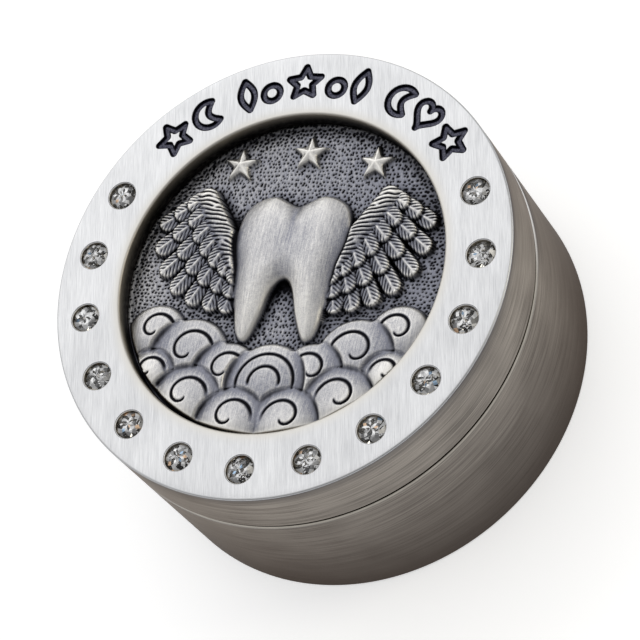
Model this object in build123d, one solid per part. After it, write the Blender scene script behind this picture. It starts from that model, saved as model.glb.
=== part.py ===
from build123d import *

import os
from math import atan, cos, degrees, radians, sin, tan

# Keepsake box for a baby tooth: a round cast box with a lift-off lid.
# Thirteen faceted crystals sit in the ring of the lid, round a relief medallion.
# Lengths are in millimetres. The origin is the centre of the underside and +Z is up.
# Seen from above with +Y at the top, the relief is the right way up.

# Whole box
box_diameter = 45.0
base_height = 15.5  # underside to seam
lid_height = 6.4  # seam to the face of the ring
seam_gap = 0.02

# Lid casting
lid_edge_rounding = 0.35
lid_lip_chamfer = 0.12
lid_skirt_wall = 1.2
ring_face_wall = 2.7
ring_width = 6.43  # from the recess to the side of the box
recess_rounding = 0.4
recess_depth = 2.0  # face of the ring down to the field of the relief
hub_wall = 1.2
deck_thickness = 0.8

# Base casting
fit_clearance = 0.08  # between spigot and skirt, on the radius
spigot_wall = 1.0
spigot_height = 3.0
spigot_lead_in = 0.25
shoulder_chamfer = 0.3
base_edge_rounding = 0.4
floor_thickness = 1.4
underside_recess = 0.4
foot_ring_width = 2.6
cavity_rounding = 0.5

# Crystals and their seats
crystal_count = 13
crystal_pitch = 18.943  # degrees between neighbours
crystal_edge_distance = 2.96  # from a crystal's centre to the side of the box
crystal_diameter = 2.7
girdle_thickness = 0.1
girdle_drop = 0.32  # girdle below the face of the ring
seat_clearance = 0.08
seat_chamfer = 0.14
table_share = 0.58  # of the crystal's diameter
crown_angle = 33.0
star_angle = 20.0
upper_half_angle = 40.0
pavilion_angle = 40.0
facet_sides = 8

# Relief medallion
medallion_gap = 0.05
medallion_thickness = 1.0
relief_sink = 0.3  # how far each raised form goes into the plate

# Tooth in the middle of the relief: its place and size as shares of the medallion's radius,
# and its right half as shares of its own width and height
tooth_width_share = 0.737
tooth_height_share = 0.924
tooth_centre_share = 0.062
tooth_rise = 1.65
tooth_edge_rise = 0.6
tooth_outline_shares = (
    (0.0, 0.43), (0.22, 0.50), (0.43, 0.42), (0.50, 0.20), (0.44, -0.02), (0.40, -0.25),
    (0.34, -0.46), (0.24, -0.50), (0.15, -0.36), (0.08, -0.17), (0.0, -0.10),
)

# Wings: feathers hang in rows from an arm that runs from shoulder to wrist.
# Places, widths and the longest reach are shares of the medallion's radius.
shoulder_shares = (0.287, 0.056)
wrist_shares = (0.574, 0.50)
arm_width_share = 0.137
arm_top_share = 0.12  # of its width, left flat between the sloping sides
arm_rise = 1.45
feather_width_share = 0.122
feather_longest_share = 0.468
feather_length_shares = (0.62, 0.78, 0.92, 1.0, 1.0, 0.92, 0.74)  # of the longest, from shoulder to wrist
feather_first_angle = -78.0
feather_last_angle = -30.0
feather_row_shares = (1.0, 0.68, 0.40)  # of the feather's length
feather_row_top_shares = (0.55, 0.34, 0.16)
feather_row_rises = (0.60, 0.92, 1.22)
feather_step = 0.02  # each feather stands this much higher than the one before it

# Clouds below the tooth: places and cloud_radius_share as shares of the medallion's radius,
# and each puff's size as a share of the cloud radius
cloud_radius_share = 0.25
cloud_rise = 1.2
cloud_edge_rise = 0.5
cloud_back_rise_share = 0.78
cloud_back_shares = (
    (-0.76, -0.36, 0.78), (-0.52, -0.50, 1.0), (-0.27, -0.61, 0.84), (0.0, -0.66, 1.02),
    (0.27, -0.61, 0.84), (0.52, -0.50, 1.0), (0.76, -0.36, 0.78),
)
cloud_front_shares = (
    (-0.74, -0.62, 0.66), (-0.48, -0.78, 0.90), (-0.17, -0.91, 0.88),
    (0.17, -0.91, 0.88), (0.48, -0.78, 0.90), (0.74, -0.62, 0.66),
)

# Stars above the tooth: places and radius as shares of the medallion's radius
star_radius_share = 0.119
star_inner_share = 0.45
star_rise = 0.85
star_edge_rise = 0.35
star_points = 5
star_place_shares = ((-0.43, 0.73), (0.0, 0.80), (0.43, 0.73))

# Lining of the cavity
board_thickness = 0.8
board_gap = 0.1
pad_gap = 0.15
pad_edge_thickness = 2.2
pad_crown = 0.8
pad_edge_rounding = 0.7

# Worked out from the sizes above
box_radius = box_diameter / 2
ring_z = base_height + lid_height
skirt_z = base_height + seam_gap
skirt_inner_radius = box_radius - lid_skirt_wall
crystal_circle_radius = box_radius - crystal_edge_distance
recess_radius = box_radius - ring_width
field_z = ring_z - recess_depth
recess_floor_z = field_z - medallion_thickness
deck_under_z = recess_floor_z - deck_thickness
hub_radius = recess_radius + hub_wall
groove_top_z = ring_z - ring_face_wall
spigot_radius = skirt_inner_radius - fit_clearance
spigot_top_z = base_height + spigot_height
cavity_radius = spigot_radius - spigot_wall
cavity_floor_z = underside_recess + floor_thickness
foot_inner_radius = box_radius - foot_ring_width
medallion_radius = recess_radius - medallion_gap
tooth_width = tooth_width_share * medallion_radius
tooth_height = tooth_height_share * medallion_radius
feather_width = feather_width_share * medallion_radius
feather_longest = feather_longest_share * medallion_radius
cloud_radius = cloud_radius_share * medallion_radius
star_radius = star_radius_share * medallion_radius
board_top_z = cavity_floor_z + board_thickness


def turned(points, roundings):
    """A body turned about Z from an outline in (radius, height), with some corners rounded."""
    outline = make_face(Polyline(*points, close=True))
    for corner, radius in roundings:
        nearest = outline.vertices().sort_by_distance(Vector(*corner, 0))[0]
        outline = fillet(nearest, radius)
    return revolve(Plane.XZ * outline, Axis.Z)


def upright(shape, x, y, z):
    """The shape moved to a place, without turning it."""
    return Pos(x, y, z) * shape


def crystal_angles():
    """Angles of the crystals about Z: an open arc, even about the -Y side."""
    middle = (crystal_count - 1) / 2
    return [-90 + (number - middle) * crystal_pitch for number in range(crystal_count)]


def crystal_places():
    places = []
    for angle in crystal_angles():
        x = crystal_circle_radius * cos(radians(angle))
        y = crystal_circle_radius * sin(radians(angle))
        places.append((x, y, angle))
    return places


# Crystal: a round brilliant with a pointed back, its girdle's middle at z = 0

girdle_radius = crystal_diameter / 2
girdle_half = girdle_thickness / 2
table_reach = crystal_diameter * table_share / 2
crown_height = girdle_half + (girdle_radius - table_reach) * tan(radians(crown_angle))
pavilion_depth = girdle_half + girdle_radius * tan(radians(pavilion_angle))


def facet(stone, reach, height, azimuth, slope):
    """Cuts one flat facet through the point at this reach, height and azimuth."""
    x = reach * cos(radians(azimuth))
    y = reach * sin(radians(azimuth))
    steep = sin(radians(slope))
    normal = (steep * cos(radians(azimuth)), steep * sin(radians(azimuth)), cos(radians(slope)))
    return split(stone, bisect_by=Plane((x, y, height), z_dir=normal), keep=Keep.BOTTOM)


def cut_crystal():
    step = 360 / facet_sides
    blank_height = crown_height + pavilion_depth
    blank = Cylinder(girdle_radius, blank_height, align=(Align.CENTER, Align.CENTER, Align.MIN))
    stone = upright(blank, 0, 0, -pavilion_depth)
    table_side = table_reach * cos(radians(step / 2))
    for number in range(facet_sides):
        azimuth = number * step
        stone = facet(stone, girdle_radius, girdle_half, azimuth, crown_angle)
        stone = facet(stone, table_side, crown_height, azimuth + step / 2, star_angle)
        for side in (-step / 4, step / 4):
            stone = facet(stone, girdle_radius, girdle_half, azimuth + side, upper_half_angle)
        stone = facet(stone, girdle_radius, -girdle_half, azimuth, 180 - pavilion_angle)
    return stone


def seat_cutter():
    """The hole for one crystal: a chamfered bore with a cone for the pointed back."""
    bore_radius = girdle_radius + seat_clearance
    cone_depth = bore_radius * tan(radians(pavilion_angle))
    bore_bottom = -girdle_half
    mouth_z = girdle_drop
    above_z = mouth_z + seat_chamfer
    points = [
        (0, bore_bottom - cone_depth),
        (bore_radius, bore_bottom),
        (bore_radius, mouth_z - seat_chamfer),
        (bore_radius + 2 * seat_chamfer, above_z),
        (0, above_z),
    ]
    return turned(points, [])


# Lid casting: ring, skirt, recess for the medallion and a groove that evens out the wall


def make_lid_shell():
    points = [
        (0, recess_floor_z),
        (recess_radius, recess_floor_z),
        (recess_radius, ring_z),
        (box_radius, ring_z),
        (box_radius, skirt_z + lid_lip_chamfer),
        (box_radius - lid_lip_chamfer, skirt_z),
        (skirt_inner_radius, skirt_z),
        (skirt_inner_radius, groove_top_z),
        (hub_radius, groove_top_z),
        (hub_radius, deck_under_z),
        (0, deck_under_z),
    ]
    roundings = [((recess_radius, ring_z), recess_rounding), ((box_radius, ring_z), lid_edge_rounding)]
    lid = turned(points, roundings)
    cutter = seat_cutter()
    for x, y, angle in crystal_places():
        lid -= upright(Rot(0, 0, angle) * cutter, x, y, ring_z - girdle_drop)
    return lid


# Relief medallion: a plate with raised forms, seated in the recess


def ball_over(reach, rise, edge_rise=0):
    """A ball whose top is at the rise, and which falls to the edge rise at the reach."""
    fall = rise - edge_rise
    ball_radius = (reach ** 2 + fall ** 2) / (2 * fall)
    return upright(Sphere(ball_radius), 0, 0, rise - ball_radius)


def raised(outline, reach, rise, edge_rise):
    """An outline raised from the plate, with a domed top."""
    column = extrude(upright(outline, 0, 0, -relief_sink), amount=relief_sink + rise)
    return column & ball_over(reach, rise, edge_rise)


def make_tooth():
    right = [(x * tooth_width, y * tooth_height) for x, y in tooth_outline_shares]
    left = [(-x, y) for x, y in right[1:-1]]
    outline = make_face(Spline(*right, *reversed(left), periodic=True))
    tooth = raised(outline, tooth_height / 2, tooth_rise, tooth_edge_rise)
    return upright(tooth, 0, tooth_centre_share * medallion_radius, 0)


def make_star():
    corners = []
    for number in range(2 * star_points):
        reach = star_radius if number % 2 == 0 else star_radius * star_inner_share
        turn = radians(90 + number * 180 / star_points)
        corners.append((reach * cos(turn), reach * sin(turn)))
    outline = make_face(Polyline(*corners, close=True))
    return raised(outline, star_radius, star_rise, star_edge_rise)


def make_pad(reach, width, rise, top_share):
    """A pad with sloping sides, from a round end about the origin to a round tip at the reach, along +X."""
    inset = width * (1 - top_share) / 2
    spread = 2 * relief_sink * inset / rise
    run = reach - width / 2
    slot = SlotCenterToCenter(run, width + spread)
    pad = extrude(slot, amount=relief_sink + rise, taper=degrees(atan(inset / rise)))
    return upright(pad, run / 2, 0, -relief_sink)


def make_wing():
    """The right wing: an arm, and rows of feathers that fan out from it."""
    shoulder_x, shoulder_y = (share * medallion_radius for share in shoulder_shares)
    wrist_x, wrist_y = (share * medallion_radius for share in wrist_shares)
    reach_x = wrist_x - shoulder_x
    reach_y = wrist_y - shoulder_y
    arm_width = arm_width_share * medallion_radius
    arm_reach = (reach_x ** 2 + reach_y ** 2) ** 0.5 + arm_width / 2
    arm_angle = degrees(atan(reach_y / reach_x))
    arm = make_pad(arm_reach, arm_width, arm_rise, arm_top_share)
    wing = Pos(shoulder_x, shoulder_y, 0) * Rot(0, 0, arm_angle) * arm
    rows = zip(feather_row_shares, feather_row_rises, feather_row_top_shares)
    for row_share, rise, top_share in rows:
        for number, length_share in enumerate(feather_length_shares):
            along = number / (len(feather_length_shares) - 1)
            reach = feather_longest * length_share * row_share
            angle = feather_first_angle + (feather_last_angle - feather_first_angle) * along
            feather = make_pad(reach, feather_width, rise + feather_step * number, top_share)
            x = shoulder_x + reach_x * along
            y = shoulder_y + reach_y * along
            wing += Pos(x, y, 0) * Rot(0, 0, angle) * feather
    return wing


def make_clouds():
    """Domed puffs in two rows, the front one higher, cut to the plate's edge."""
    slab_height = relief_sink + 2 * cloud_rise
    slab = upright(Cylinder(medallion_radius, slab_height), 0, 0, slab_height / 2 - relief_sink)
    puffs = []
    for rise_share, shares in ((cloud_back_rise_share, cloud_back_shares), (1, cloud_front_shares)):
        for x_share, y_share, size_share in shares:
            reach = cloud_radius * size_share
            puff = raised(Circle(reach), reach, cloud_rise * rise_share, cloud_edge_rise * rise_share)
            puffs.append(upright(puff, x_share * medallion_radius, y_share * medallion_radius, 0) & slab)
    return puffs


def make_relief_medallion():
    medallion = Cylinder(medallion_radius, medallion_thickness, align=(Align.CENTER, Align.CENTER, Align.MAX))
    for puff in make_clouds():
        medallion += puff
    wing = make_wing()
    medallion += wing
    medallion += mirror(wing, about=Plane.YZ)
    medallion += make_tooth()
    star = make_star()
    for x_share, y_share in star_place_shares:
        medallion += upright(star, x_share * medallion_radius, y_share * medallion_radius, 0)
    return upright(medallion, 0, 0, field_z)


# Base casting: a cup with a spigot for the lid and a foot ring


def make_base_cup():
    points = [
        (0, underside_recess),
        (foot_inner_radius, underside_recess),
        (foot_inner_radius, 0),
        (box_radius, 0),
        (box_radius, base_height - shoulder_chamfer),
        (box_radius - shoulder_chamfer, base_height),
        (spigot_radius, base_height),
        (spigot_radius, spigot_top_z - spigot_lead_in),
        (spigot_radius - spigot_lead_in, spigot_top_z),
        (cavity_radius, spigot_top_z),
        (cavity_radius, cavity_floor_z),
        (0, cavity_floor_z),
    ]
    roundings = [((box_radius, 0), base_edge_rounding), ((cavity_radius, cavity_floor_z), cavity_rounding)]
    return turned(points, roundings)


# Lining: a stiff card disc on the floor, and a crowned soft pad on top of it


def make_lining_board():
    board_radius = cavity_radius - cavity_rounding - board_gap
    disc = Cylinder(board_radius, board_thickness, align=(Align.CENTER, Align.CENTER, Align.MIN))
    return upright(disc, 0, 0, cavity_floor_z)


def make_lining_pad():
    pad_radius = cavity_radius - pad_gap
    edge_top_z = board_top_z + pad_edge_thickness
    crown_z = edge_top_z + pad_crown
    crown_chord = (pad_radius, edge_top_z)
    crown_middle_x = pad_radius / 2
    crown_ball = (pad_radius ** 2 + pad_crown ** 2) / (2 * pad_crown)
    crown_middle_z = crown_z - crown_ball + (crown_ball ** 2 - crown_middle_x ** 2) ** 0.5
    edges = Polyline(crown_chord, (pad_radius, board_top_z), (0, board_top_z), (0, crown_z))
    crown = ThreePointArc((0, crown_z), (crown_middle_x, crown_middle_z), crown_chord)
    outline = make_face(edges + crown)
    for corner in (crown_chord, (pad_radius, board_top_z)):
        nearest = outline.vertices().sort_by_distance(Vector(*corner, 0))[0]
        outline = fillet(nearest, pad_edge_rounding)
    return revolve(Plane.XZ * outline, Axis.Z)


# Writing the parts, one file for each node

parts = {
    "base_cup": make_base_cup(),
    "lining_board": make_lining_board(),
    "lining_pad": make_lining_pad(),
    "lid_shell": make_lid_shell(),
    "relief_medallion": make_relief_medallion(),
}
crystal = cut_crystal()
for number, (x, y, angle) in enumerate(crystal_places(), start=1):
    parts[f"crystal_{number:02d}"] = upright(Rot(0, 0, angle) * crystal, x, y, ring_z - girdle_drop)

os.makedirs("parts", exist_ok=True)
for name, part in parts.items():
    export_step(part, f"parts/{name}.step")
    print(name, "volume", round(part.volume, 2), "top", round(part.bounding_box().max.Z, 3))
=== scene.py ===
import math

import bmesh
import bpy
import numpy as np
from mathutils import Matrix, Vector


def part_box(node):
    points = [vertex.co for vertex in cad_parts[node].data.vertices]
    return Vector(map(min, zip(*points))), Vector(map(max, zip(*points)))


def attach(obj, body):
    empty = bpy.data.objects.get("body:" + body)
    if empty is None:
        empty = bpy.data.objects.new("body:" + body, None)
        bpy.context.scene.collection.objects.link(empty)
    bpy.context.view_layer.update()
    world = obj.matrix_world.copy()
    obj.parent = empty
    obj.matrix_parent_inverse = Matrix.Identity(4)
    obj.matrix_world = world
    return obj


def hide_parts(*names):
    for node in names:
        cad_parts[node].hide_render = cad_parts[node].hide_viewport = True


# Keepsake box for a baby tooth: the finish of every surface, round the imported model.
# Blender works in metres. Sizes here are in millimetres times MM.

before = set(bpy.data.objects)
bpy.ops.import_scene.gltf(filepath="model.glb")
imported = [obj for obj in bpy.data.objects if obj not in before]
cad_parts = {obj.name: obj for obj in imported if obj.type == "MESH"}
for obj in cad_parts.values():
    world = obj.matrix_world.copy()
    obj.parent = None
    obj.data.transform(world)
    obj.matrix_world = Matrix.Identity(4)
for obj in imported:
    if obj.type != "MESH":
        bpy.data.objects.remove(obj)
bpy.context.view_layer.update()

MM = 0.001

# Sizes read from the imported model
base_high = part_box("base_cup")[1]
lid_low, lid_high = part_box("lid_shell")
plate_low, plate_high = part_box("relief_medallion")
board_low, board_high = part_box("lining_board")
pad_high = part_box("lining_pad")[1]
box_radius = base_high.x
spigot_top_z = base_high.z
ring_z = lid_high.z
skirt_z = lid_low.z
plate_radius = plate_high.x
plate_bottom_z = plate_low.z
board_top_z = board_high.z
cavity_floor_z = board_low.z

# Sizes of the castings that the boxes above don't give
seam_z = 15.5 * MM
lid_edge_rounding = 0.20 * MM
lid_lip_chamfer = 0.12 * MM
skirt_wall = 1.2 * MM
ring_face_wall = 2.7 * MM
plate_gap = 0.05 * MM
plate_thickness = 1.0 * MM
recess_rounding = 0.22 * MM
hub_wall = 1.2 * MM
deck_thickness = 0.8 * MM
fit_clearance = 0.08 * MM
spigot_wall = 1.0 * MM
spigot_lead_in = 0.25 * MM
shoulder_rounding = 0.65 * MM
base_edge_rounding = 0.4 * MM
underside_recess = 0.4 * MM
foot_ring_width = 2.6 * MM
cavity_rounding = 0.5 * MM

recess_radius = plate_radius + plate_gap
field_z = plate_bottom_z + plate_thickness
skirt_inner = box_radius - skirt_wall
spigot_radius = skirt_inner - fit_clearance
cavity_radius = spigot_radius - spigot_wall

# Crystals
crystal_count = 13
crystal_pitch = 18.943  # degrees
crystal_circle = 19.54 * MM
crystal_radius = 1.35 * MM
girdle_drop = 0.32 * MM
girdle_half = 0.05 * MM
seat_clearance = 0.02 * MM
seat_chamfer = 0.09 * MM
pavilion_angle = 40.0
facet_sectors = 12
facet_rows = 2.8


# Shader helpers


def operator(operation, swapped=False):
    """A method that makes a math node from a field and another value."""
    def combine(field, other):
        first, second = (other, field) if swapped else (field, other)
        return field.nodes.math(operation, first, second)
    return combine


class Field:
    """A value that varies over a surface. A formula of fields becomes math nodes."""

    def __init__(self, nodes, socket):
        self.nodes = nodes
        self.socket = socket

    __add__ = operator("ADD")
    __sub__ = operator("SUBTRACT")
    __rsub__ = operator("SUBTRACT", swapped=True)
    __mul__ = __rmul__ = operator("MULTIPLY")
    __truediv__ = operator("DIVIDE")
    __gt__ = operator("GREATER_THAN")
    __lt__ = operator("LESS_THAN")


class Nodes:
    """A node tree, and short ways to add nodes to it."""

    def __init__(self, tree):
        self.tree = tree
        self.tree.nodes.clear()

    def add(self, kind, **settings):
        node = self.tree.nodes.new(kind)
        for key, value in settings.items():
            setattr(node, key, value)
        return node

    def plug(self, socket, value):
        """Links a field or an output to a socket, or sets a number or colour on it."""
        if isinstance(value, Field):
            value = value.socket
        if isinstance(value, bpy.types.NodeSocket):
            self.tree.links.new(value, socket)
        elif socket.type == "RGBA":
            socket.default_value = (*value, 1.0)
        else:
            socket.default_value = value

    def field(self, kind, inputs, output=0, **settings):
        """Adds a node, fills its inputs and gives one of its outputs."""
        node = self.add(kind, **settings)
        for key, value in inputs.items():
            self.plug(node.inputs[key], value)
        return Field(self, node.outputs[output])

    def parts(self, kind, whole):
        """What a node makes out of one vector or colour."""
        node = self.add(kind)
        self.plug(node.inputs[0], whole)
        return [Field(self, output) for output in node.outputs]

    def math(self, operation, first, second=0.0):
        return self.field("ShaderNodeMath", {0: first, 1: second}, operation=operation)

    def vector_math(self, operation, first, second=(0, 0, 0), output=0):
        return self.field("ShaderNodeVectorMath", {0: first, 1: second}, output, operation=operation)

    def spread(self, value, low, high, to_low=0.0, to_high=1.0, **settings):
        """Maps a range of values onto another, clamped."""
        ends = {"Value": value, "From Min": low, "From Max": high, "To Min": to_low, "To Max": to_high}
        return self.field("ShaderNodeMapRange", ends, "Result", **settings)

    def mix(self, factor, first, second):
        """Mixes two colours."""
        return self.field("ShaderNodeMix", {0: factor, 6: first, 7: second}, 2, data_type="RGBA")

    def fade(self, value, low, high, first, second):
        """Goes from one colour to another as a value goes from low to high."""
        return self.mix(self.spread(value, low, high), first, second)


class Shader(Nodes):
    """A material with a Principled surface."""

    def __init__(self, name):
        self.material = bpy.data.materials.new(name)
        self.material.use_nodes = True
        super().__init__(self.material.node_tree)
        self.out = self.add("ShaderNodeOutputMaterial")
        self.surface = self.add("ShaderNodeBsdfPrincipled")
        self.plug(self.out.inputs["Surface"], self.surface.outputs["BSDF"])
        self.coords = self.add("ShaderNodeTexCoord").outputs["Object"]

    def finish(self, **values):
        """Fills the surface's inputs. An underscore in a key stands for a space."""
        for key, value in values.items():
            self.plug(self.surface.inputs[key.replace("_", " ")], value)
        return self.material

    def metal(self, colour, roughness, relief, depth, metallic=1.0):
        """Finishes the material as metal, with bumps of this depth."""
        normal = self.bump(relief, depth)
        return self.finish(Base_Color=colour, Metallic=metallic, Roughness=roughness, Normal=normal)

    def bump(self, relief, depth):
        return self.field("ShaderNodeBump", {"Height": relief, "Distance": depth, "Strength": 1.0})

    def grain(self, size, detail=3.0, roughness=0.5, offset=(0, 0, 0)):
        """Noise whose grains have this size along X, Y and Z, in metres."""
        placing = {"Vector": self.coords, "Scale": tuple(1 / length for length in size), "Location": offset}
        noise = {"Vector": self.field("ShaderNodeMapping", placing), "Scale": 1.0}
        noise.update({"Detail": detail, "Roughness": roughness})
        return self.field("ShaderNodeTexNoise", noise, "Fac")

    def turn(self, degrees):
        """Turns the coordinates that later grains use, about Z."""
        turned = {"Vector": self.coords, "Angle": math.radians(degrees)}
        self.coords = self.field("ShaderNodeVectorRotate", turned, rotation_type="Z_AXIS")

    def level(self, low, high, to_low=0.0, to_high=1.0):
        """Goes from one value to another between two heights."""
        height = self.parts("ShaderNodeSeparateXYZ", self.coords)[2]
        return self.spread(height, low, high, to_low, to_high)

    def reach(self):
        """Distance from the axis, in metres."""
        flat = self.vector_math("MULTIPLY", self.coords, (1, 1, 0))
        return self.vector_math("LENGTH", flat, output="Value")

    def along(self, degrees):
        """Distance from the axis towards an angle about Z, in metres."""
        turn = math.radians(degrees)
        return self.vector_math("DOT_PRODUCT", self.coords, (math.cos(turn), math.sin(turn), 0), "Value")

    def attribute(self, name):
        return self.field("ShaderNodeAttribute", {}, "Fac", attribute_name=name)


# Materials of the castings

round_z = (7.0 * MM, 7.0 * MM, 0.09 * MM)  # a fine streak round the box, along X, Y and Z
round_z_sweep = (20.0 * MM, 20.0 * MM, 0.45 * MM)  # a broad one
brush_turn = -11.0  # degrees from +Y to the brushing of the ring face
painted_light_turn = 52.0  # degrees about Z, of the side that is painted as most lit
# Colours of the painted shade from the ring face down the lip and the recess wall
lip_pale = (0.61, 0.592, 0.555)
patina = (0.56, 0.505, 0.41)
# Colour of the painted bluish shade below the edges of the side
painted_shade_blue = (0.040, 0.044, 0.058)


def brushed(shader, line, sweep, dark, bright):
    """Colour and fine streaks of brushed metal. line and sweep are a fine and a broad streak's size."""
    fine = shader.grain(line, detail=4.0, roughness=0.62)
    broad = shader.grain(sweep, detail=3.0, roughness=0.55, offset=(7.1, 3.3, 1.7))
    blotch = shader.grain((6 * MM,) * 3, detail=2.0, offset=(2.2, 8.4, 5.0))
    tone = 0.60 * fine + 0.22 * broad + 0.18 * blotch
    return shader.fade(tone, 0.36, 0.64, dark, bright), fine


def blackened(shader, colour, grime_and_shade):
    """The colour with engraved marks in it, whose walls are black and whose floor is grey."""
    mark = shader.attribute("mark")
    floor = shader.fade(grime_and_shade, 0.35, 0.65, (0.022, 0.023, 0.036), (0.105, 0.105, 0.135))
    cut = shader.fade(mark + 0.16 * (grime_and_shade - 0.5), 0.50, 0.68, (0.006, 0.006, 0.011), floor)
    return shader.fade(mark, -0.04, 0.06, colour, cut)


def make_face_metal():
    """The ring face: pale satin metal, brushed straight across, with the engraved marks and painted shade
    near the lip.
    """
    shader = Shader("face_metal")
    grime_and_shade = shader.grain((0.14 * MM,) * 3, detail=4.0, roughness=0.65)
    shader.turn(brush_turn)
    line, sweep = (0.085 * MM, 2.2 * MM, 2.0 * MM), (0.45 * MM, 7.0 * MM, 4.0 * MM)
    colour, fine = brushed(shader, line, sweep, (0.50, 0.505, 0.518), (0.778, 0.782, 0.792))
    # Painted shade: the face turns pale cream over the last 1.4 mm before the lip.
    near_lip = shader.spread(shader.reach(), recess_radius + 1.4 * MM, recess_radius + recess_rounding)
    colour = blackened(shader, shader.mix(near_lip * near_lip, colour, lip_pale), grime_and_shade)
    return shader.metal(colour, shader.spread(fine, 0.3, 0.7, 0.32, 0.44), fine, 0.010 * MM)


def painted_light_side(shader):
    """1 on the side of the box that is painted as most lit, 0 on the rest."""
    return shader.spread(shader.along(painted_light_turn), 0.70 * box_radius, 0.96 * box_radius)


def below(shader, z, reach):
    """A band that is 1 at a height and fades to 0 downwards, with nothing above the height."""
    fading = shader.level(z - reach, z)
    return fading * fading * shader.level(z + 0.04 * MM, z + 0.02 * MM)


def make_side_metal():
    """The side: dark pewter brushed round the box, with painted shade that darkens it towards the foot and
    a painted bluish shade below each edge.

    The streaks spread a highlight up and down it.
    """
    shader = Shader("side_metal")
    colour, fine = brushed(shader, round_z, round_z_sweep, (0.125, 0.115, 0.106), (0.41, 0.378, 0.342))
    # Painted shade: the side darkens towards the foot.
    low = shader.level(0.0, 0.8 * ring_z, 0.95, 0.0)
    colour = shader.mix(low, colour, (0.078, 0.066, 0.060))
    # Painted bluish shade below the lid's edge all round, strongest on the side painted as most lit, and
    # below the shoulder only on that side.
    lit_side = painted_light_side(shader)
    lid_share = shader.spread(lit_side, 0.0, 1.0, 0.50, 1.0)
    colour = shader.mix(below(shader, ring_z - lid_edge_rounding, 1.9 * MM) * lid_share, colour, painted_shade_blue)
    colour = shader.mix(below(shader, seam_z - shoulder_rounding, 2.2 * MM) * lit_side, colour, painted_shade_blue)
    around = shader.field("ShaderNodeTangent", {}, direction_type="RADIAL", axis="Z")
    shader.finish(
        Tangent=around, Anisotropic=0.8, Anisotropic_Rotation=0.25, Specular_Tint=(0.52, 0.475, 0.445)
    )
    return shader.metal(colour, shader.spread(fine, 0.3, 0.7, 0.30, 0.42), fine, 0.008 * MM)


def make_edge_metal():
    """The rounded outer edge of the lid: pale at the face, with painted shade going dark below."""
    shader = Shader("edge_metal")
    wear = shader.grain((0.5 * MM, 0.5 * MM, 0.1 * MM), detail=4.0)
    depth = shader.level(ring_z, ring_z - lid_edge_rounding) + 0.2 * (wear - 0.5)
    colour = shader.fade(depth, 0.02, 0.60, (0.64, 0.645, 0.655), (0.47, 0.475, 0.49))
    colour = shader.fade(depth, 0.62, 0.95, colour, (0.055, 0.058, 0.070))
    return shader.metal(colour, 0.40, wear, 0.006 * MM)


def make_shoulder_metal():
    """The rounded shoulder of the base: a painted highlight on the side painted as most lit, and painted
    shade at the seam.
    """
    shader = Shader("shoulder_metal")
    wear = shader.grain((2.0 * MM, 2.0 * MM, 0.10 * MM), detail=4.0)
    plain = shader.mix(wear, (0.22, 0.203, 0.178), (0.46, 0.43, 0.385))
    bright = shader.mix(wear, (0.55, 0.55, 0.55), (0.88, 0.88, 0.89))
    depth = shader.level(seam_z, seam_z - shoulder_rounding)
    # Painted highlight: the shoulder is brighter on the side painted as most lit.
    colour = shader.mix(painted_light_side(shader), plain, bright)
    colour = shader.fade(depth, 1.0, 0.65, (0.13, 0.119, 0.108), colour)
    # Painted shade: a near-black band where the shoulder runs into the seam.
    grime_and_shade = shader.spread(depth, 0.52, 0.44) * shader.spread(depth, 0.20, 0.28)
    colour = shader.mix(grime_and_shade, colour, (0.020, 0.017, 0.012))
    return shader.metal(colour, 0.35, wear, 0.005 * MM)


def make_inner_metal():
    """The turned surfaces inside: paler and duller."""
    shader = Shader("inner_metal")
    colour, fine = brushed(shader, round_z, round_z_sweep, (0.42, 0.41, 0.40), (0.62, 0.61, 0.60))
    return shader.metal(colour, shader.spread(fine, 0.3, 0.7, 0.37, 0.49), fine, 0.006 * MM)


def make_wall_metal():
    """The recess wall: painted shade, warm brown towards the top and near black below."""
    shader = Shader("wall_metal")
    wear = shader.grain((0.5 * MM, 0.5 * MM, 0.3 * MM), detail=5.0)
    colour = shader.fade(wear, 0.45, 0.75, (0.018, 0.016, 0.016), (0.10, 0.092, 0.085))
    high = shader.level(field_z + 0.5 * MM, ring_z - recess_rounding)
    return shader.metal(shader.mix(high * high, colour, patina), 0.45, wear, 0.010 * MM)


def make_lip_metal():
    """The rounded edge of the recess: painted shade from the pale face to a warm brown."""
    shader = Shader("lip_metal")
    wear = shader.grain((0.3 * MM, 1.2 * MM, 0.2 * MM), detail=5.0)
    depth = shader.level(ring_z, ring_z - recess_rounding) + 0.25 * (wear - 0.5)
    return shader.metal(shader.fade(depth, 0.0, 1.0, lip_pale, patina), 0.48, wear, 0.006 * MM)


def make_seat_metal():
    """The bevelled mouths of the drilled seats: bright cut metal with a dark edge."""
    shader = Shader("seat_metal")
    wear = shader.grain((0.3 * MM,) * 3, detail=3.0)
    colour = shader.mix(wear, (0.80, 0.80, 0.82), (0.98, 0.98, 1.0))
    edge = shader.level(ring_z - 0.04 * MM, ring_z - 0.02 * MM)
    colour = shader.mix(edge, colour, (0.10, 0.10, 0.11))
    return shader.metal(colour, 0.45, wear, 0.003 * MM, metallic=0.35)


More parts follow.
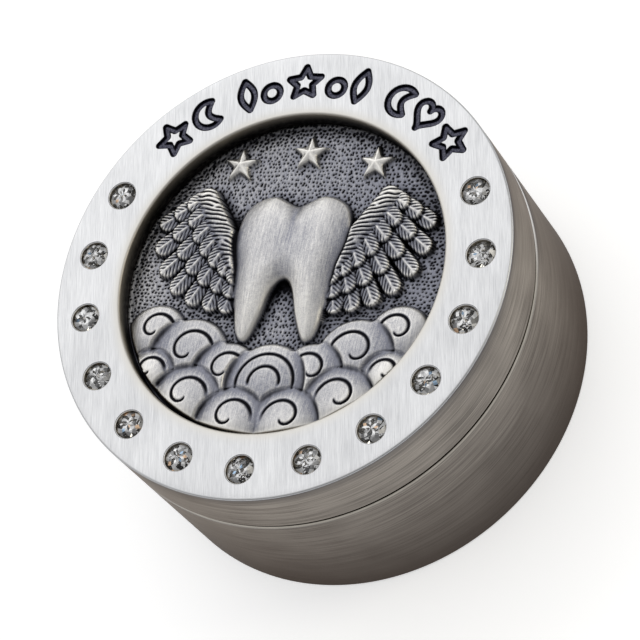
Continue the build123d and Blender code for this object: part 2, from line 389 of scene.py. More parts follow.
def make_relief_metal():
    """Antiqued metal: the mesh carries how worn and how sooty each place is, with painted light and painted
    shade in both.
    """
    shader = Shader("relief_metal")
    speck = shader.grain((0.09 * MM,) * 3, detail=4.0, roughness=0.7)
    streak = shader.grain((0.08 * MM, 1.6 * MM, 1.0 * MM), detail=4.0, roughness=0.6)
    uneven = 0.55 * (speck - 0.5)
    worn_and_lit = shader.attribute("shine") + uneven + 0.45 * (streak - 0.5)
    colour = shader.fade(worn_and_lit, 0.0, 0.5, (0.050, 0.050, 0.062), (0.215, 0.221, 0.262))
    colour = shader.fade(worn_and_lit, 0.56, 1.0, colour, (0.84, 0.82, 0.78))
    colour = shader.fade(shader.attribute("soot_and_shade") + 0.7 * uneven, 0.10, 0.62, colour, (0.007, 0.007, 0.009))
    return shader.metal(colour, shader.spread(worn_and_lit, 0.1, 0.9, 0.50, 0.30), speck + 0.8 * streak, 0.016 * MM)


metals = [
    make_face_metal(), make_side_metal(), make_edge_metal(), make_shoulder_metal(),
    make_inner_metal(), make_lip_metal(), make_wall_metal(), make_seat_metal(),
]
FACE, SIDE, EDGE, SHOULDER, INNER, LIP, WALL, SEAT = range(len(metals))


# Mesh helpers


def add_object(name, data):
    obj = bpy.data.objects.new(name, data)
    bpy.context.scene.collection.objects.link(obj)
    return obj


def mesh_object(name, vertices, faces, materials, indices=None):
    mesh = bpy.data.meshes.new(name)
    mesh.from_pydata([tuple(v) for v in vertices], [], [tuple(f) for f in faces])
    for material in materials:
        mesh.materials.append(material)
    if indices is not None:
        mesh.polygons.foreach_set("material_index", np.asarray(indices, dtype=np.int32))
    mesh.update()
    return add_object(name, mesh)


def arc_corner(before, corner, after, radius, steps):
    """Points of a fillet at a corner of a polyline in (radius, height)."""
    a, b, c = Vector(before), Vector(corner), Vector(after)
    to_a, to_c = (a - b).normalized(), (c - b).normalized()
    half = to_a.angle(to_c) / 2
    middle = b + (to_a + to_c).normalized() * (radius / math.sin(half))
    start, end = (b + side * (radius / math.tan(half)) - middle for side in (to_a, to_c))
    rays = [start.slerp(end, step / steps) for step in range(steps + 1)]
    return [tuple(middle + ray.normalized() * radius) for ray in rays]


def profile(corners, steps=8):
    """A line in (radius, height), and the slot of each of its runs.

    A corner is (radius, height, rounding, slot of the next run). In a pair, the first slot is the arc's.
    """
    points, slots = [], []
    for number, (r, z, rounding, slot) in enumerate(corners):
        if rounding:
            before, after = corners[number - 1], corners[number + 1]
            arc = arc_corner(before[:2], (r, z), after[:2], rounding, steps)
            arc_slot, run_slot = slot if isinstance(slot, tuple) else (slot, slot)
            points += arc
            slots += [arc_slot] * (len(arc) - 1) + [run_slot]
        else:
            points.append((r, z))
            slots.append(slot)
    return points, slots


def even_turns(count=288):
    return [2 * math.pi * number / count for number in range(count)]


def turned(corners, turns):
    """Vertices, faces and slots of a closed body turned about Z. The line starts and ends on the axis."""
    points, slots = profile(corners)
    inner = points[1:-1]
    count = len(turns)
    vertices = [(0, 0, points[0][1])]
    for r, z in inner:
        vertices += [(r * math.cos(turn), r * math.sin(turn), z) for turn in turns]
    vertices.append((0, 0, points[-1][1]))
    pairs = [(number, (number + 1) % count) for number in range(count)]
    faces = [(0, 1 + after, 1 + number) for number, after in pairs]
    for row in range(len(inner) - 1):
        low, high = 1 + row * count, 1 + (row + 1) * count
        faces += [(low + number, low + after, high + after, high + number) for number, after in pairs]
    top = 1 + (len(inner) - 1) * count
    faces += [(top + number, top + after, len(vertices) - 1) for number, after in pairs]
    return vertices, faces, np.repeat(slots[:-1], count)


def lathe(name, corners, materials, turns):
    vertices, faces, indices = turned(corners, turns)
    obj = mesh_object(name, vertices, faces, materials, indices)
    recalculate(obj)
    return obj


def recalculate(obj):
    """Makes the faces point outwards."""
    work = bmesh.new()
    work.from_mesh(obj.data)
    bmesh.ops.recalc_face_normals(work, faces=work.faces)
    work.to_mesh(obj.data)
    work.free()


def vertex_places(mesh):
    places = np.empty(len(mesh.vertices) * 3, dtype=np.float32)
    mesh.vertices.foreach_get("co", places)
    return places.reshape(-1, 3)


def move_vertices(mesh, places):
    mesh.vertices.foreach_set("co", places.astype(np.float32).ravel())
    mesh.update()


def set_attribute(mesh, name, values):
    mesh.attributes.new(name, "FLOAT", "POINT").data.foreach_set("value", values.astype(np.float32))


def shade_smooth(mesh, degrees):
    """Smooth shading with edges over this angle kept sharp."""
    mesh.polygons.foreach_set("use_smooth", [True] * len(mesh.polygons))
    mesh.set_sharp_from_angle(angle=math.radians(degrees))


def smooth(obj, degrees=32):
    """Smooth shading with sharp edges kept, and flat faces kept flat."""
    shade_smooth(obj.data, degrees)
    weighted = obj.modifiers.new("weighted", "WEIGHTED_NORMAL")
    weighted.keep_sharp = True
    weighted.weight = 100


def dress(node, material):
    """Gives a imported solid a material."""
    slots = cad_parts[node].data.materials
    slots.clear()
    slots.append(material)


def apply_modifiers(obj):
    graph = bpy.context.evaluated_depsgraph_get()
    made = bpy.data.meshes.new_from_object(obj.evaluated_get(graph))
    obj.modifiers.clear()
    old = obj.data
    obj.data = made
    bpy.data.meshes.remove(old)


# Base casting


def make_base():
    foot_inner = box_radius - foot_ring_width
    corners = [
        (0, underside_recess, 0, INNER),
        (foot_inner - 0.2 * MM, underside_recess, 0, INNER),
        (foot_inner, 0, 0, SIDE),
        (box_radius, 0, base_edge_rounding, SIDE),
        (box_radius, seam_z, shoulder_rounding, (SHOULDER, INNER)),
        (spigot_radius, seam_z, 0, INNER),
        (spigot_radius, spigot_top_z - spigot_lead_in, 0, INNER),
        (spigot_radius - spigot_lead_in, spigot_top_z, 0, INNER),
        (cavity_radius, spigot_top_z, 0, INNER),
        (cavity_radius, cavity_floor_z, cavity_rounding, INNER),
        (0, cavity_floor_z, 0, INNER),
    ]
    base = lathe("base_casting", corners, metals, even_turns())
    smooth(base)
    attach(base, "base")
    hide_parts("base_cup")


make_base()


# Lid casting


def crystal_places():
    middle = (crystal_count - 1) / 2
    for number in range(crystal_count):
        turn = math.radians(-90 + (number - middle) * crystal_pitch)
        yield crystal_circle * math.cos(turn), crystal_circle * math.sin(turn)


# Engraved marks: a row of outlined stars, moons, leaves and rings round the top of the ring.
# Loops are in shares of a mark's height.

mark_height = 3.2 * MM
mark_half_stroke = 0.36 * MM
mark_depth = 0.26 * MM
mark_circle = 19.42 * MM
mark_middle = 88.0  # degrees about Z, of the row's middle
mark_gap = 0.30  # between neighbours, as a share of a mark's height
mark_break = 0.52  # added between groups
mark_row = ("star", "moon", None, "leaf", "ring", "star", "ring", "leaf", None, "moon", "heart", "star")
mark_wall_share = 0.40  # of the half stroke, that the sloping wall takes
mark_reach = 0.74  # of a mark's height, that the fine rows of the ring face cover each side
mark_cell = 0.055 * MM
lid_coarse_turns = 210  # segments of the lid beside the marks


def star_loop():
    turns = [math.radians(90 + number * 36) for number in range(10)]
    reaches = (0.52, 0.25) * 5
    return [(reach * math.cos(turn), reach * math.sin(turn)) for reach, turn in zip(reaches, turns)]


def heart_loop(count=44):
    """The usual heart curve, brought to a mark's height."""
    points = []
    for t in even_turns(count):
        x = 16 * math.sin(t) ** 3
        y = 13 * math.cos(t) - 5 * math.cos(2 * t) - 2 * math.cos(3 * t) - math.cos(4 * t)
        points.append((x / 38, (y + 2.5) / 34))
    return points


def ring_loop(count=32):
    return [(0.26 * math.cos(turn), 0.26 * math.sin(turn) - 0.16) for turn in even_turns(count)]


def leaf_loop(count=13):
    """Two arcs that meet in points."""
    shares = [number / (count - 1) for number in range(count)]
    side = [(0.22 * math.sin(math.pi * t), 0.50 - t) for t in shares]
    return side + [(-x, y) for x, y in side[-2:0:-1]]


def moon_loop(count=22):
    """A crescent: a round back and a shallower inner arc."""
    shares = [number / (count - 1) for number in range(count)]
    turns = [math.radians(55 + 250 * t) for t in shares]
    outer = [(0.14 + 0.44 * math.cos(turn), 0.44 * math.sin(turn)) for turn in turns]
    start, end = Vector(outer[-1]), Vector(outer[0])
    chord = [start.lerp(end, t) for t in shares[1:-1]]
    inner = [(p.x - math.sin(math.pi * t) * 0.25, p.y) for p, t in zip(chord, shares[1:-1])]
    return outer + inner


mark_loops = {
    "star": star_loop, "heart": heart_loop, "ring": ring_loop, "leaf": leaf_loop, "moon": moon_loop
}


def mark_places():
    """Each mark's loop and its angle about Z, spaced by the marks' own widths."""
    reach = 0.0
    spots = []
    for kind in mark_row:
        if kind is None:
            reach += mark_break
            continue
        loop = mark_loops[kind]()
        low, high = min(x for x, y in loop), max(x for x, y in loop)
        spots.append((loop, reach - low))
        reach += high - low + mark_gap
    whole = reach - mark_gap
    turn = math.degrees(mark_height / mark_circle)
    return [(loop, math.radians(mark_middle + (whole / 2 - spot) * turn)) for loop, spot in spots]


def line_distance(x, y, loop):
    """Distance to a closed line."""
    best = np.full(x.shape, 1e9)
    loop = np.asarray(loop, dtype=float)
    for start, end in zip(loop, np.roll(loop, -1, axis=0)):
        edge = end - start
        t = np.clip(((x - start[0]) * edge[0] + (y - start[1]) * edge[1]) / (edge @ edge), 0, 1)
        best = np.minimum(best, np.hypot(x - start[0] - t * edge[0], y - start[1] - t * edge[1]))
    return best


def along_across(x, y, angle):
    """Distances along a direction and across it."""
    cos, sin = math.cos(angle), math.sin(angle)
    return x * cos + y * sin, y * cos - x * sin


def mark_field(x, y):
    """How far inside a mark's stroke each place is: 0 at the edge, 1 on the centre line."""
    field = np.full(x.shape, -1.0)
    for loop, turn in mark_places():
        cx, cy = mark_circle * math.cos(turn), mark_circle * math.sin(turn)
        near = np.hypot(x - cx, y - cy) < mark_height
        u, v = along_across(x[near] - cx, y[near] - cy, turn - math.pi / 2)
        away = line_distance(u / mark_height, v / mark_height, loop)
        field[near] = np.maximum(field[near], 1 - away * mark_height / mark_half_stroke)
    return field


def make_cutters(segments=48):
    """The drills for all the crystal seats, as one mesh."""
    bore = crystal_radius + seat_clearance
    seat_z = ring_z - girdle_drop - girdle_half
    corners = [
        (0, seat_z - bore * math.tan(math.radians(pavilion_angle)), 0, 0),
        (bore, seat_z, 0, 0),
        (bore, ring_z - seat_chamfer, 0, 0),
        (bore + 2 * seat_chamfer, ring_z + seat_chamfer, 0, 0),
        (0, ring_z + seat_chamfer, 0, 0),
    ]
    drill, drill_faces, slots = turned(corners, even_turns(segments))
    vertices, faces = [], []
    for x, y in crystal_places():
        start = len(vertices)
        vertices += [(x + dx, y + dy, z) for dx, dy, z in drill]
        faces += [tuple(start + index for index in face) for face in drill_faces]
    cutters = mesh_object("cutters", vertices, faces, [])
    recalculate(cutters)
    return cutters


def mark_span():
    """Lowest and highest angle about Z that the marks take."""
    angles = [turn for loop, turn in mark_places()]
    margin = mark_height / mark_circle
    return min(angles) - margin, max(angles) + margin


def lid_turns():
    """Angles of the lid's segments: fine across the engraved marks, coarser elsewhere."""
    low, high = mark_span()
    fine = int((high - low) * mark_circle / mark_cell)
    rest = 2 * math.pi - high + low
    turns = [low + (high - low) * number / fine for number in range(fine)]
    return turns + [high + rest * number / lid_coarse_turns for number in range(lid_coarse_turns)]


def engrave(lid):
    """Sinks the marks into the ring face and notes where they are."""
    places = vertex_places(lid.data).astype(float)
    reach = np.hypot(places[:, 0], places[:, 1])
    on_face = (np.abs(places[:, 2] - ring_z) < 1e-7) & (reach > recess_radius + recess_rounding)
    field = np.full(len(places), -1.0)
    field[on_face] = mark_field(places[on_face, 0], places[on_face, 1])
    t = np.clip(field / mark_wall_share, 0, 1)
    places[:, 2] -= mark_depth * t * t * (3 - 2 * t)
    move_vertices(lid.data, places)
    set_attribute(lid.data, "mark", field)


def make_lid():
    deck_under_z = plate_bottom_z - deck_thickness
    groove_top_z = ring_z - ring_face_wall
    hub_radius = recess_radius + hub_wall
    corners = [
        (0, plate_bottom_z, 0, WALL),
        (recess_radius, plate_bottom_z, 0, WALL),
        (recess_radius, ring_z, recess_rounding, (LIP, FACE)),
        (box_radius, ring_z, lid_edge_rounding, (EDGE, SIDE)),
        (box_radius, skirt_z + lid_lip_chamfer, 0, WALL),
        (box_radius - lid_lip_chamfer, skirt_z, 0, INNER),
        (skirt_inner, skirt_z, 0, INNER),
        (skirt_inner, groove_top_z, 0, INNER),
        (hub_radius, groove_top_z, 0, INNER),
        (hub_radius, deck_under_z, 0, INNER),
        (0, deck_under_z, 0, INNER),
    ]
    low, high = mark_circle - mark_reach * mark_height, mark_circle + mark_reach * mark_height
    rows = int((high - low) / mark_cell)
    corners[3:3] = [(low + (high - low) * row / rows, ring_z, 0, FACE) for row in range(rows + 1)]
    lid = lathe("lid_casting", corners, metals, lid_turns())
    engrave(lid)
    cutters = make_cutters()
    cut = lid.modifiers.new("cut", "BOOLEAN")
    cut.object = cutters
    cut.operation = "DIFFERENCE"
    cut.solver = "EXACT"
    apply_modifiers(lid)
    bpy.data.objects.remove(cutters)
    hair = 0.004 * MM
    first_turn, last_turn = mark_span()
    for face in lid.data.polygons:
        r = math.hypot(face.center.x, face.center.y)
        inside = recess_radius + recess_rounding < r < box_radius - lid_edge_rounding
        marked = first_turn < math.atan2(face.center.y, face.center.x) < last_turn
        if inside and not marked and groove_top_z + hair < face.center.z < ring_z - hair:
            # Painted shade: the seat walls below the bevel take the near-black wall metal.
            face.material_index = SEAT if face.center.z > ring_z - seat_chamfer else WALL
    smooth(lid)
    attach(lid, "lid")
    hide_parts("lid_shell")


make_lid()


# Relief plate: a height map worked out on a fine grid in millimetres, then laid on a round mesh.
# The design is the same left and right, so only the half with x over 0 is painted.

relief_pitch = 0.05  # between samples
relief_reach = 16.3
plate_mm = plate_radius / MM

tooth_width = 0.737 * plate_mm
tooth_height = 0.924 * plate_mm
tooth_rise = 1.65
tooth_centre_y = 0.062 * plate_mm
tooth_outline_shares = (
    (0.0, 0.43), (0.22, 0.50), (0.43, 0.42), (0.50, 0.20), (0.44, -0.02), (0.40, -0.25),
    (0.34, -0.46), (0.24, -0.50), (0.15, -0.36), (0.08, -0.17), (0.0, -0.10),
)
shoulder = (0.287 * plate_mm, 0.056 * plate_mm)
wrist = (0.574 * plate_mm, 0.50 * plate_mm)
arm_width = 0.137 * plate_mm
arm_rise = 1.45
feather_width = 0.122 * plate_mm
feather_longest = 0.468 * plate_mm
feather_length_shares = (0.62, 0.78, 0.92, 1.0, 1.0, 0.92, 0.74)
feather_angles = (-78.0, -30.0)
feather_rows = ((1.0, 0.60), (0.68, 0.92), (0.40, 1.22))  # share of the length, and rise
barb_pitch = 0.50
cloud_radius = 0.25 * plate_mm
cloud_rise = 1.2
cloud_edge_rise = 0.5
cloud_back_shares = ((0.76, -0.36, 0.78), (0.52, -0.50, 1.0), (0.27, -0.61, 0.84), (0.0, -0.66, 1.02))
cloud_front_shares = ((0.74, -0.62, 0.66), (0.48, -0.78, 0.90), (0.17, -0.91, 0.88))
cloud_rows = ((0.78, cloud_back_shares), (1.0, cloud_front_shares))
pit_pitch = 0.39  # of the punched field
pit_radius = 0.112
pit_depth = 0.11
star_radius = 0.119 * plate_mm
star_inner_share = 0.45
star_places = ((0.0, 0.80), (0.43, 0.73))


def catmull(points, steps=10):
    """A closed smooth curve through the points."""
    a, b, c, d = (np.roll(points, back, axis=0)[:, None] for back in (1, 0, -1, -2))
    t = np.linspace(0, 1, steps, endpoint=False)[:, None]
    bend = (2 * a - 5 * b + 4 * c - d) * t ** 2 + (3 * b - a - 3 * c + d) * t ** 3
    return (0.5 * (2 * b + (c - a) * t + bend)).reshape(-1, 2)


def inside_distance(x, y, loop):
    """Distance to a closed loop, positive inside it."""
    away = line_distance(x, y, loop)
    inside = np.zeros(x.shape, dtype=bool)
    for start, end in zip(loop, np.roll(loop, -1, axis=0)):
        edge = end - start
        if abs(edge[1]) > 1e-9:
            crosses = (start[1] > y) != (end[1] > y)
            inside ^= crosses & (x < start[0] + (y - start[1]) * edge[0] / edge[1])
    return np.where(inside, away, -away)


def rounded_edge(depth, width):
    """Rises from 0 to 1 over a quarter circle."""
    t = np.clip(depth / width, 0, 1)
    return np.sqrt(1 - (1 - t) ** 2)


def ramp(value, low, high):
    return np.clip((value - low) / (high - low), 0, 1)


def blur(grid, reach):
    """Gaussian blur of a grid, reach in millimetres."""
    sigma = reach / relief_pitch
    half = int(3 * sigma) + 1
    kernel = np.exp(-0.5 * (np.arange(-half, half + 1) / sigma) ** 2)
    kernel /= kernel.sum()
    for axis in (0, 1):
        lines = np.moveaxis(grid, axis, 0)
        padded = np.pad(lines, ((half, half), (0, 0)), mode="edge")
        size = padded.shape[0] + 2 * half
        spectrum = np.fft.rfft(kernel, size)[:, None]
        blurred = np.fft.irfft(np.fft.rfft(padded, size, axis=0) * spectrum, size, axis=0)
        grid = np.moveaxis(blurred[2 * half:2 * half + len(lines)], 0, axis)
    return grid


def in_cell(grid, i, next_i, j, next_j, fu, fv):
    """Values between the four corners of a grid's cells."""
    low = grid[i, j] * (1 - fu) + grid[next_i, j] * fu
    high = grid[i, next_j] * (1 - fu) + grid[next_i, next_j] * fu
    return low * (1 - fv) + high * fv


def value_noise(x, y, size, seed):
    """Smooth noise from 0 to 1 with grains of this size."""
    rng = np.random.default_rng(seed)
    table = rng.random((256, 256))
    u, v = x / size + 101.3, y / size + 57.7
    i, j = np.floor(u).astype(int), np.floor(v).astype(int)
    fu, fv = u - i, v - j
    fu, fv = fu * fu * (3 - 2 * fu), fv * fv * (3 - 2 * fv)
    return in_cell(table, i % 256, (i + 1) % 256, j % 256, (j + 1) % 256, fu, fv)


def stipple(x, y, seed):
    """Depth from 0 to 1 of punched pits, one in each cell of a jittered grid."""
    rng = np.random.default_rng(seed)
    table = rng.random((256, 256, 3))
    u, v = x / pit_pitch + 97.0, y / pit_pitch + 97.0
    i, j = np.floor(u).astype(int), np.floor(v).astype(int)
    depth = np.zeros(x.shape)
    for di in (-1, 0, 1):
        for dj in (-1, 0, 1):
            cell = table[(i + di) % 256, (j + dj) % 256]
            cx = i + di + 0.5 + (cell[..., 0] - 0.5) * 0.65 + 0.5 * ((j + dj) % 2)
            cy = j + dj + 0.5 + (cell[..., 1] - 0.5) * 0.65
            size = pit_radius * (0.8 + 0.45 * cell[..., 2])
            far = np.hypot(u - cx, v - cy) * pit_pitch / size
            depth = np.maximum(depth, np.clip(1.2 - far ** 2, 0, 1))
    return depth


class Canvas:
    """Height, engraved strokes and polish of the relief, painted from the back to the front. The polish
    also holds painted light.
    """

    def __init__(self):
        self.axis = np.arange(-relief_reach, relief_reach + relief_pitch / 2, relief_pitch)
        self.x, self.y = np.meshgrid(self.axis[len(self.axis) // 2:], self.axis, indexing="ij")
        self.height, self.strokes, self.polish_and_light = np.zeros((3, *self.x.shape))

    def around(self, place, reach):
        """The part of the grid within this reach of a place, and its samples as seen from there."""
        columns = np.flatnonzero(np.abs(self.x[:, 0] - place[0]) <= reach)
        rows = np.flatnonzero(np.abs(self.y[0] - place[1]) <= reach)
        window = np.ix_(columns, rows)
        return window, self.x[window] - place[0], self.y[window] - place[1]

    def lay(self, window, depth, body, strokes=0.0, polish_and_light=0.0, edge=0.25):
        """Lays a form over what is there. depth is the distance inside its outline."""
        behind = self.height[window]
        inside = depth > 0
        raised = behind + (body - behind) * rounded_edge(depth, edge)
        gap = 0.07 * np.exp(-(np.minimum(depth + 0.05, 0) / 0.07) ** 2) * (behind > 0.1)
        self.height[window] = np.where(inside, np.maximum(raised, 0), behind - gap)
        self.strokes[window] = np.where(inside, strokes, self.strokes[window])
        self.polish_and_light[window] = np.where(inside, polish_and_light, self.polish_and_light[window])


def curl(x, y, width):
    """A scroll that winds inwards over the top of a puff. All in shares of the puff's radius."""
    away, t = np.hypot(x, y - 0.14), (math.radians(205) - np.arctan2(y - 0.14, x)) % (2 * math.pi)
    stroke = np.clip(1.35 - np.abs(away - 0.68 + 0.098 * t) / (width * (1.2 - 0.09 * t)), 0, 1)
    return stroke * ramp(t, 0.2, 0.9) * ramp(-t, -6.1, -5.5)


def arches(away, lean, width):
    """Two arches, one in the other. lean is the angle from the upright."""
    line = np.zeros(away.shape)
    for radius in (0.70, 0.38):
        stroke = np.clip(1.35 - np.abs(away - radius) / width, 0, 1)
        line = np.maximum(line, stroke * ramp(-lean, -1.9, -1.5))
    return line


def lay_clouds(canvas):
    """Puffs in two rows, each with a curl engraved in it."""
    for row_share, shares in cloud_rows:
        for x_share, y_share, size in shares:
            place = (x_share * plate_mm, y_share * plate_mm)
            reach = cloud_radius * size
            window, x, y = canvas.around(place, reach + 0.5)
            away = np.hypot(x, y)
            top, edge = cloud_rise * row_share, cloud_edge_rise * row_share
            body = top - (top - edge) * (away / reach) ** 2
            if x_share:
                line = curl(x / reach, y / reach, 0.15 / reach)
            else:
                line = arches(away / reach, np.abs(np.arctan2(x, y)), 0.14 / reach)
            # Painted light: each puff is brighter at the top and darker at the bottom.
            polish_and_light = 0.62 + 0.42 * np.clip(y / reach, -1, 1)
            canvas.lay(window, reach - away, body - 0.14 * line, line, polish_and_light, edge=0.45)


def lay_feather(canvas, root, angle, reach, rise):
    """One feather: a leaning blade with a quill and slanting barbs."""
    half = feather_width / 2
    window, x, y = canvas.around(root, reach + half)
    u, v = along_across(x, y, angle)
    tip = reach - half
    depth = np.where(u < 0, half - np.hypot(u, v), half - np.hypot(np.maximum(u - tip, 0) * 0.92, v))
    across = np.clip(v / half, -1, 1)
    quill = np.exp(-(v / 0.09) ** 2) * ramp(-u, -tip - half * 0.6, -tip)
    barb = (0.5 + 0.5 * np.cos(2 * math.pi * (u - np.abs(v) * 1.3) / barb_pitch)) ** 2.5
    barb = barb * ramp(np.abs(v), 0.10, 0.22)
    body = rise + 0.10 * (1 - across ** 2) + 0.09 * across + 0.06 * quill - 0.10 * barb
    canvas.lay(window, depth, body, 0.85 * barb, 0.35 + 0.4 * quill, edge=0.2)


def lay_wing(canvas):
    """Rows of feathers, the longest first, and the arm that they hang from."""
    run = (wrist[0] - shoulder[0], wrist[1] - shoulder[1])
    count = len(feather_length_shares)
    for row_share, rise in feather_rows:
        for number in reversed(range(count)):
            along = number / (count - 1)
            root = (shoulder[0] + run[0] * along, shoulder[1] + run[1] * along)
            angle = math.radians(feather_angles[0] + (feather_angles[1] - feather_angles[0]) * along)
            reach = feather_longest * feather_length_shares[number] * row_share
            lay_feather(canvas, root, angle, reach, rise)
    size = math.hypot(*run)
    window, x, y = canvas.around(shoulder, size + arm_width)
    u, v = along_across(x, y, math.atan2(run[1], run[0]))
    half = arm_width / 2
    depth = half - np.hypot(u - np.clip(u, 0, size), v)
    sway = 0.35 * (value_noise(u, v, 0.9, 21) - 0.5)
    tuft = (0.5 + 0.5 * np.cos(2 * math.pi * (u + v * 0.9 + sway) / 0.56)) ** 2.5
    tuft = tuft * ramp(value_noise(u, v * 0.8, 0.55, 22), 0.12, 0.38)
    body = arm_rise * (0.72 + 0.28 * rounded_edge(depth, half)) - 0.12 * tuft
    canvas.lay(window, depth, body, tuft, 0.4, edge=0.35)


def lay_tooth(canvas):
    right = [(a * tooth_width, b * tooth_height) for a, b in tooth_outline_shares]
    left = [(-a, b) for a, b in right[1:-1]]
    window, x, y = canvas.around((0, tooth_centre_y), tooth_height / 2 + 1)
    depth = inside_distance(x, y, catmull(right + left[::-1]))
    away = np.hypot(x, y) / (tooth_height / 2)
    cleft = 0.30 * np.exp(-(x / 0.6) ** 2) * ramp(y, 1.5, 6.5)
    hollow = 0.22 * np.exp(-(x / 1.0) ** 2 - ((y + 1.2) / 2.2) ** 2)
    ridge = 0.12 * np.exp(-((x - 2.9) / 1.3) ** 2) * ramp(y, -5, 2)
    body = tooth_rise - 0.75 * away ** 2 - cleft - hollow + ridge
    canvas.lay(window, depth, body * (0.45 + 0.55 * rounded_edge(depth, 2.2)), 0.0, 1.0, edge=0.35)


def lay_stars(canvas):
    """Five-pointed stars with flat sides that meet in ridges."""
    inner = star_radius * star_inner_share
    ex, ey = inner * math.cos(math.pi / 5) - star_radius, inner * math.sin(math.pi / 5)
    size = math.hypot(ex, ey)
    middle = ey * star_radius / size
    for x_share, y_share in star_places:
        place = (x_share * plate_mm, y_share * plate_mm)
        window, x, y = canvas.around(place, star_radius + 0.5)
        away = np.hypot(x, y)
        turn = np.abs((np.arctan2(x, y) + math.pi / 5) % (2 * math.pi / 5) - math.pi / 5)
        px, py = away * np.cos(turn), away * np.sin(turn)
        depth = (ex * py - ey * (px - star_radius)) / size
        canvas.lay(window, depth, 0.46 + 0.34 * np.clip(depth / middle, 0, 1), 0.0, 0.9, edge=0.12)


def relief_maps():
    """Height, shine, and soot with painted shade, on the whole grid; the shine holds painted light too."""
    canvas = Canvas()
    lay_clouds(canvas)
    lay_wing(canvas)
    lay_tooth(canvas)
    lay_stars(canvas)
    halves = (canvas.height, canvas.strokes, canvas.polish_and_light)
    forms, strokes, polish_and_light = (np.concatenate([half[:0:-1], half]) for half in halves)
    x, y = np.meshgrid(canvas.axis, canvas.axis, indexing="ij")
    raised = np.clip(forms / 0.10, 0, 1)
    pits = stipple(x, y, 11) * (1 - raised)
    height = forms - pit_depth * pits + 0.025 * (value_noise(x, y, 0.8, 3) - 0.5) * (1 - raised)
    height += 0.02 * (value_noise(x, y, 0.25, 5) - 0.5)
    out = np.hypot(x, y)
    rim = ramp(out, plate_mm - 0.35, plate_mm - 0.25)
    height = height * (1 - rim) + 0.05 * rim
    broad = height - blur(height, 2.0)
    wide = height - blur(height, 0.9)
    near = height - blur(height, 0.20)
    shine_form = 0.42 + 0.23 * polish_and_light + 0.40 * wide + 0.24 * broad + 2.4 * near - 0.30 * strokes
    # Painted light: the punched field is brighter towards the left and darker towards the right.
    shine_field = 0.61 - 0.08 * x / plate_mm + 0.25 * np.clip(wide, -1, 0)
    shine = np.where(raised > 0.5, shine_form, shine_field)
    soot_and_shade = np.clip(-1.1 * wide - 0.10, 0, 1) + np.clip(-6.0 * near - 0.10, 0, 1) * raised
    soot_and_shade += np.clip(-0.7 * broad - 0.12, 0, 0.6) * raised + 0.75 * strokes * raised + 0.9 * pits
    # Painted shadow of the recess wall: a dark band round the edge of the plate, darker at the top.
    shaded = ramp(y, -0.5 * plate_mm, 0.6 * plate_mm)
    soot_and_shade += (0.34 + 0.16 * shaded) * ramp(out, plate_mm - 2.2, plate_mm - 0.2) ** 1.5
    # Painted highlight on the raised rim, left clear of the painted shadow towards the bottom only.
    shine = np.clip(shine + 0.1 * rim, 0, 1)
    soot_and_shade = np.clip(soot_and_shade * (1 - 0.6 * rim * (1 - shaded)), 0, 1)
    return canvas.axis, height, shine, soot_and_shade


def sampled(axis, grid, x, y):
    """Values of a grid between its samples."""
    u, v = (x - axis[0]) / relief_pitch, (y - axis[0]) / relief_pitch
    i, j = (np.clip(np.floor(place).astype(int), 0, len(axis) - 2) for place in (u, v))
    return in_cell(grid, i, i + 1, j, j + 1, u - i, v - j)


def make_relief(cells=306):
    """A square grid pressed into a disc, raised by the height map, over a plain foot."""
    axis, height, shine, soot_and_shade = relief_maps()
    side = np.linspace(-1, 1, cells + 1)
    a, b = (grid.ravel() for grid in np.meshgrid(side, side, indexing="ij"))
    wide = np.abs(a) > np.abs(b)
    reach, aside = np.where(wide, a, b), np.where(wide, b, a)
    lean = math.pi / 4 * aside / np.where(reach == 0, 1, reach)
    turn = np.where(wide, lean, math.pi / 2 - lean)
    x, y = reach * np.cos(turn) * plate_mm, reach * np.sin(turn) * plate_mm
    z = np.minimum(sampled(axis, height, x, y), (plate_high.z - field_z) / MM - 0.01)
    top = np.stack([x * MM, y * MM, field_z + z * MM], axis=1)
    index = np.arange((cells + 1) ** 2).reshape(cells + 1, cells + 1)
    quads = np.stack([index[:-1, :-1], index[1:, :-1], index[1:, 1:], index[:-1, 1:]], axis=-1)
    rim = np.concatenate([index[:-1, 0], index[-1, :-1], index[:0:-1, -1], index[0, :0:-1]])
    foot = top[rim].copy()
    foot[:, 2] = plate_bottom_z
    first, count = len(top), len(rim)
    vertices = np.concatenate([top, foot, [[0, 0, plate_bottom_z]]])
    faces = quads.reshape(-1, 4).tolist()
    for number in range(count):
        after = (number + 1) % count
        faces.append((rim[number], first + number, first + after, rim[after]))
        faces.append((first + number, first + count, first + after))
    relief = mesh_object("relief_plate", vertices, faces, [make_relief_metal()])
    recalculate(relief)
    for name, grid in (("shine", shine), ("soot_and_shade", soot_and_shade)):
        values = np.zeros(len(vertices))
        values[:first] = sampled(axis, grid, x, y)
        set_attribute(relief.data, name, values)
    shade_smooth(relief.data, 75)
    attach(relief, "lid")
    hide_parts("relief_medallion")


make_relief()


# Crystals: the cut solids stay, as clear glass with a mirrored back and flashing facets


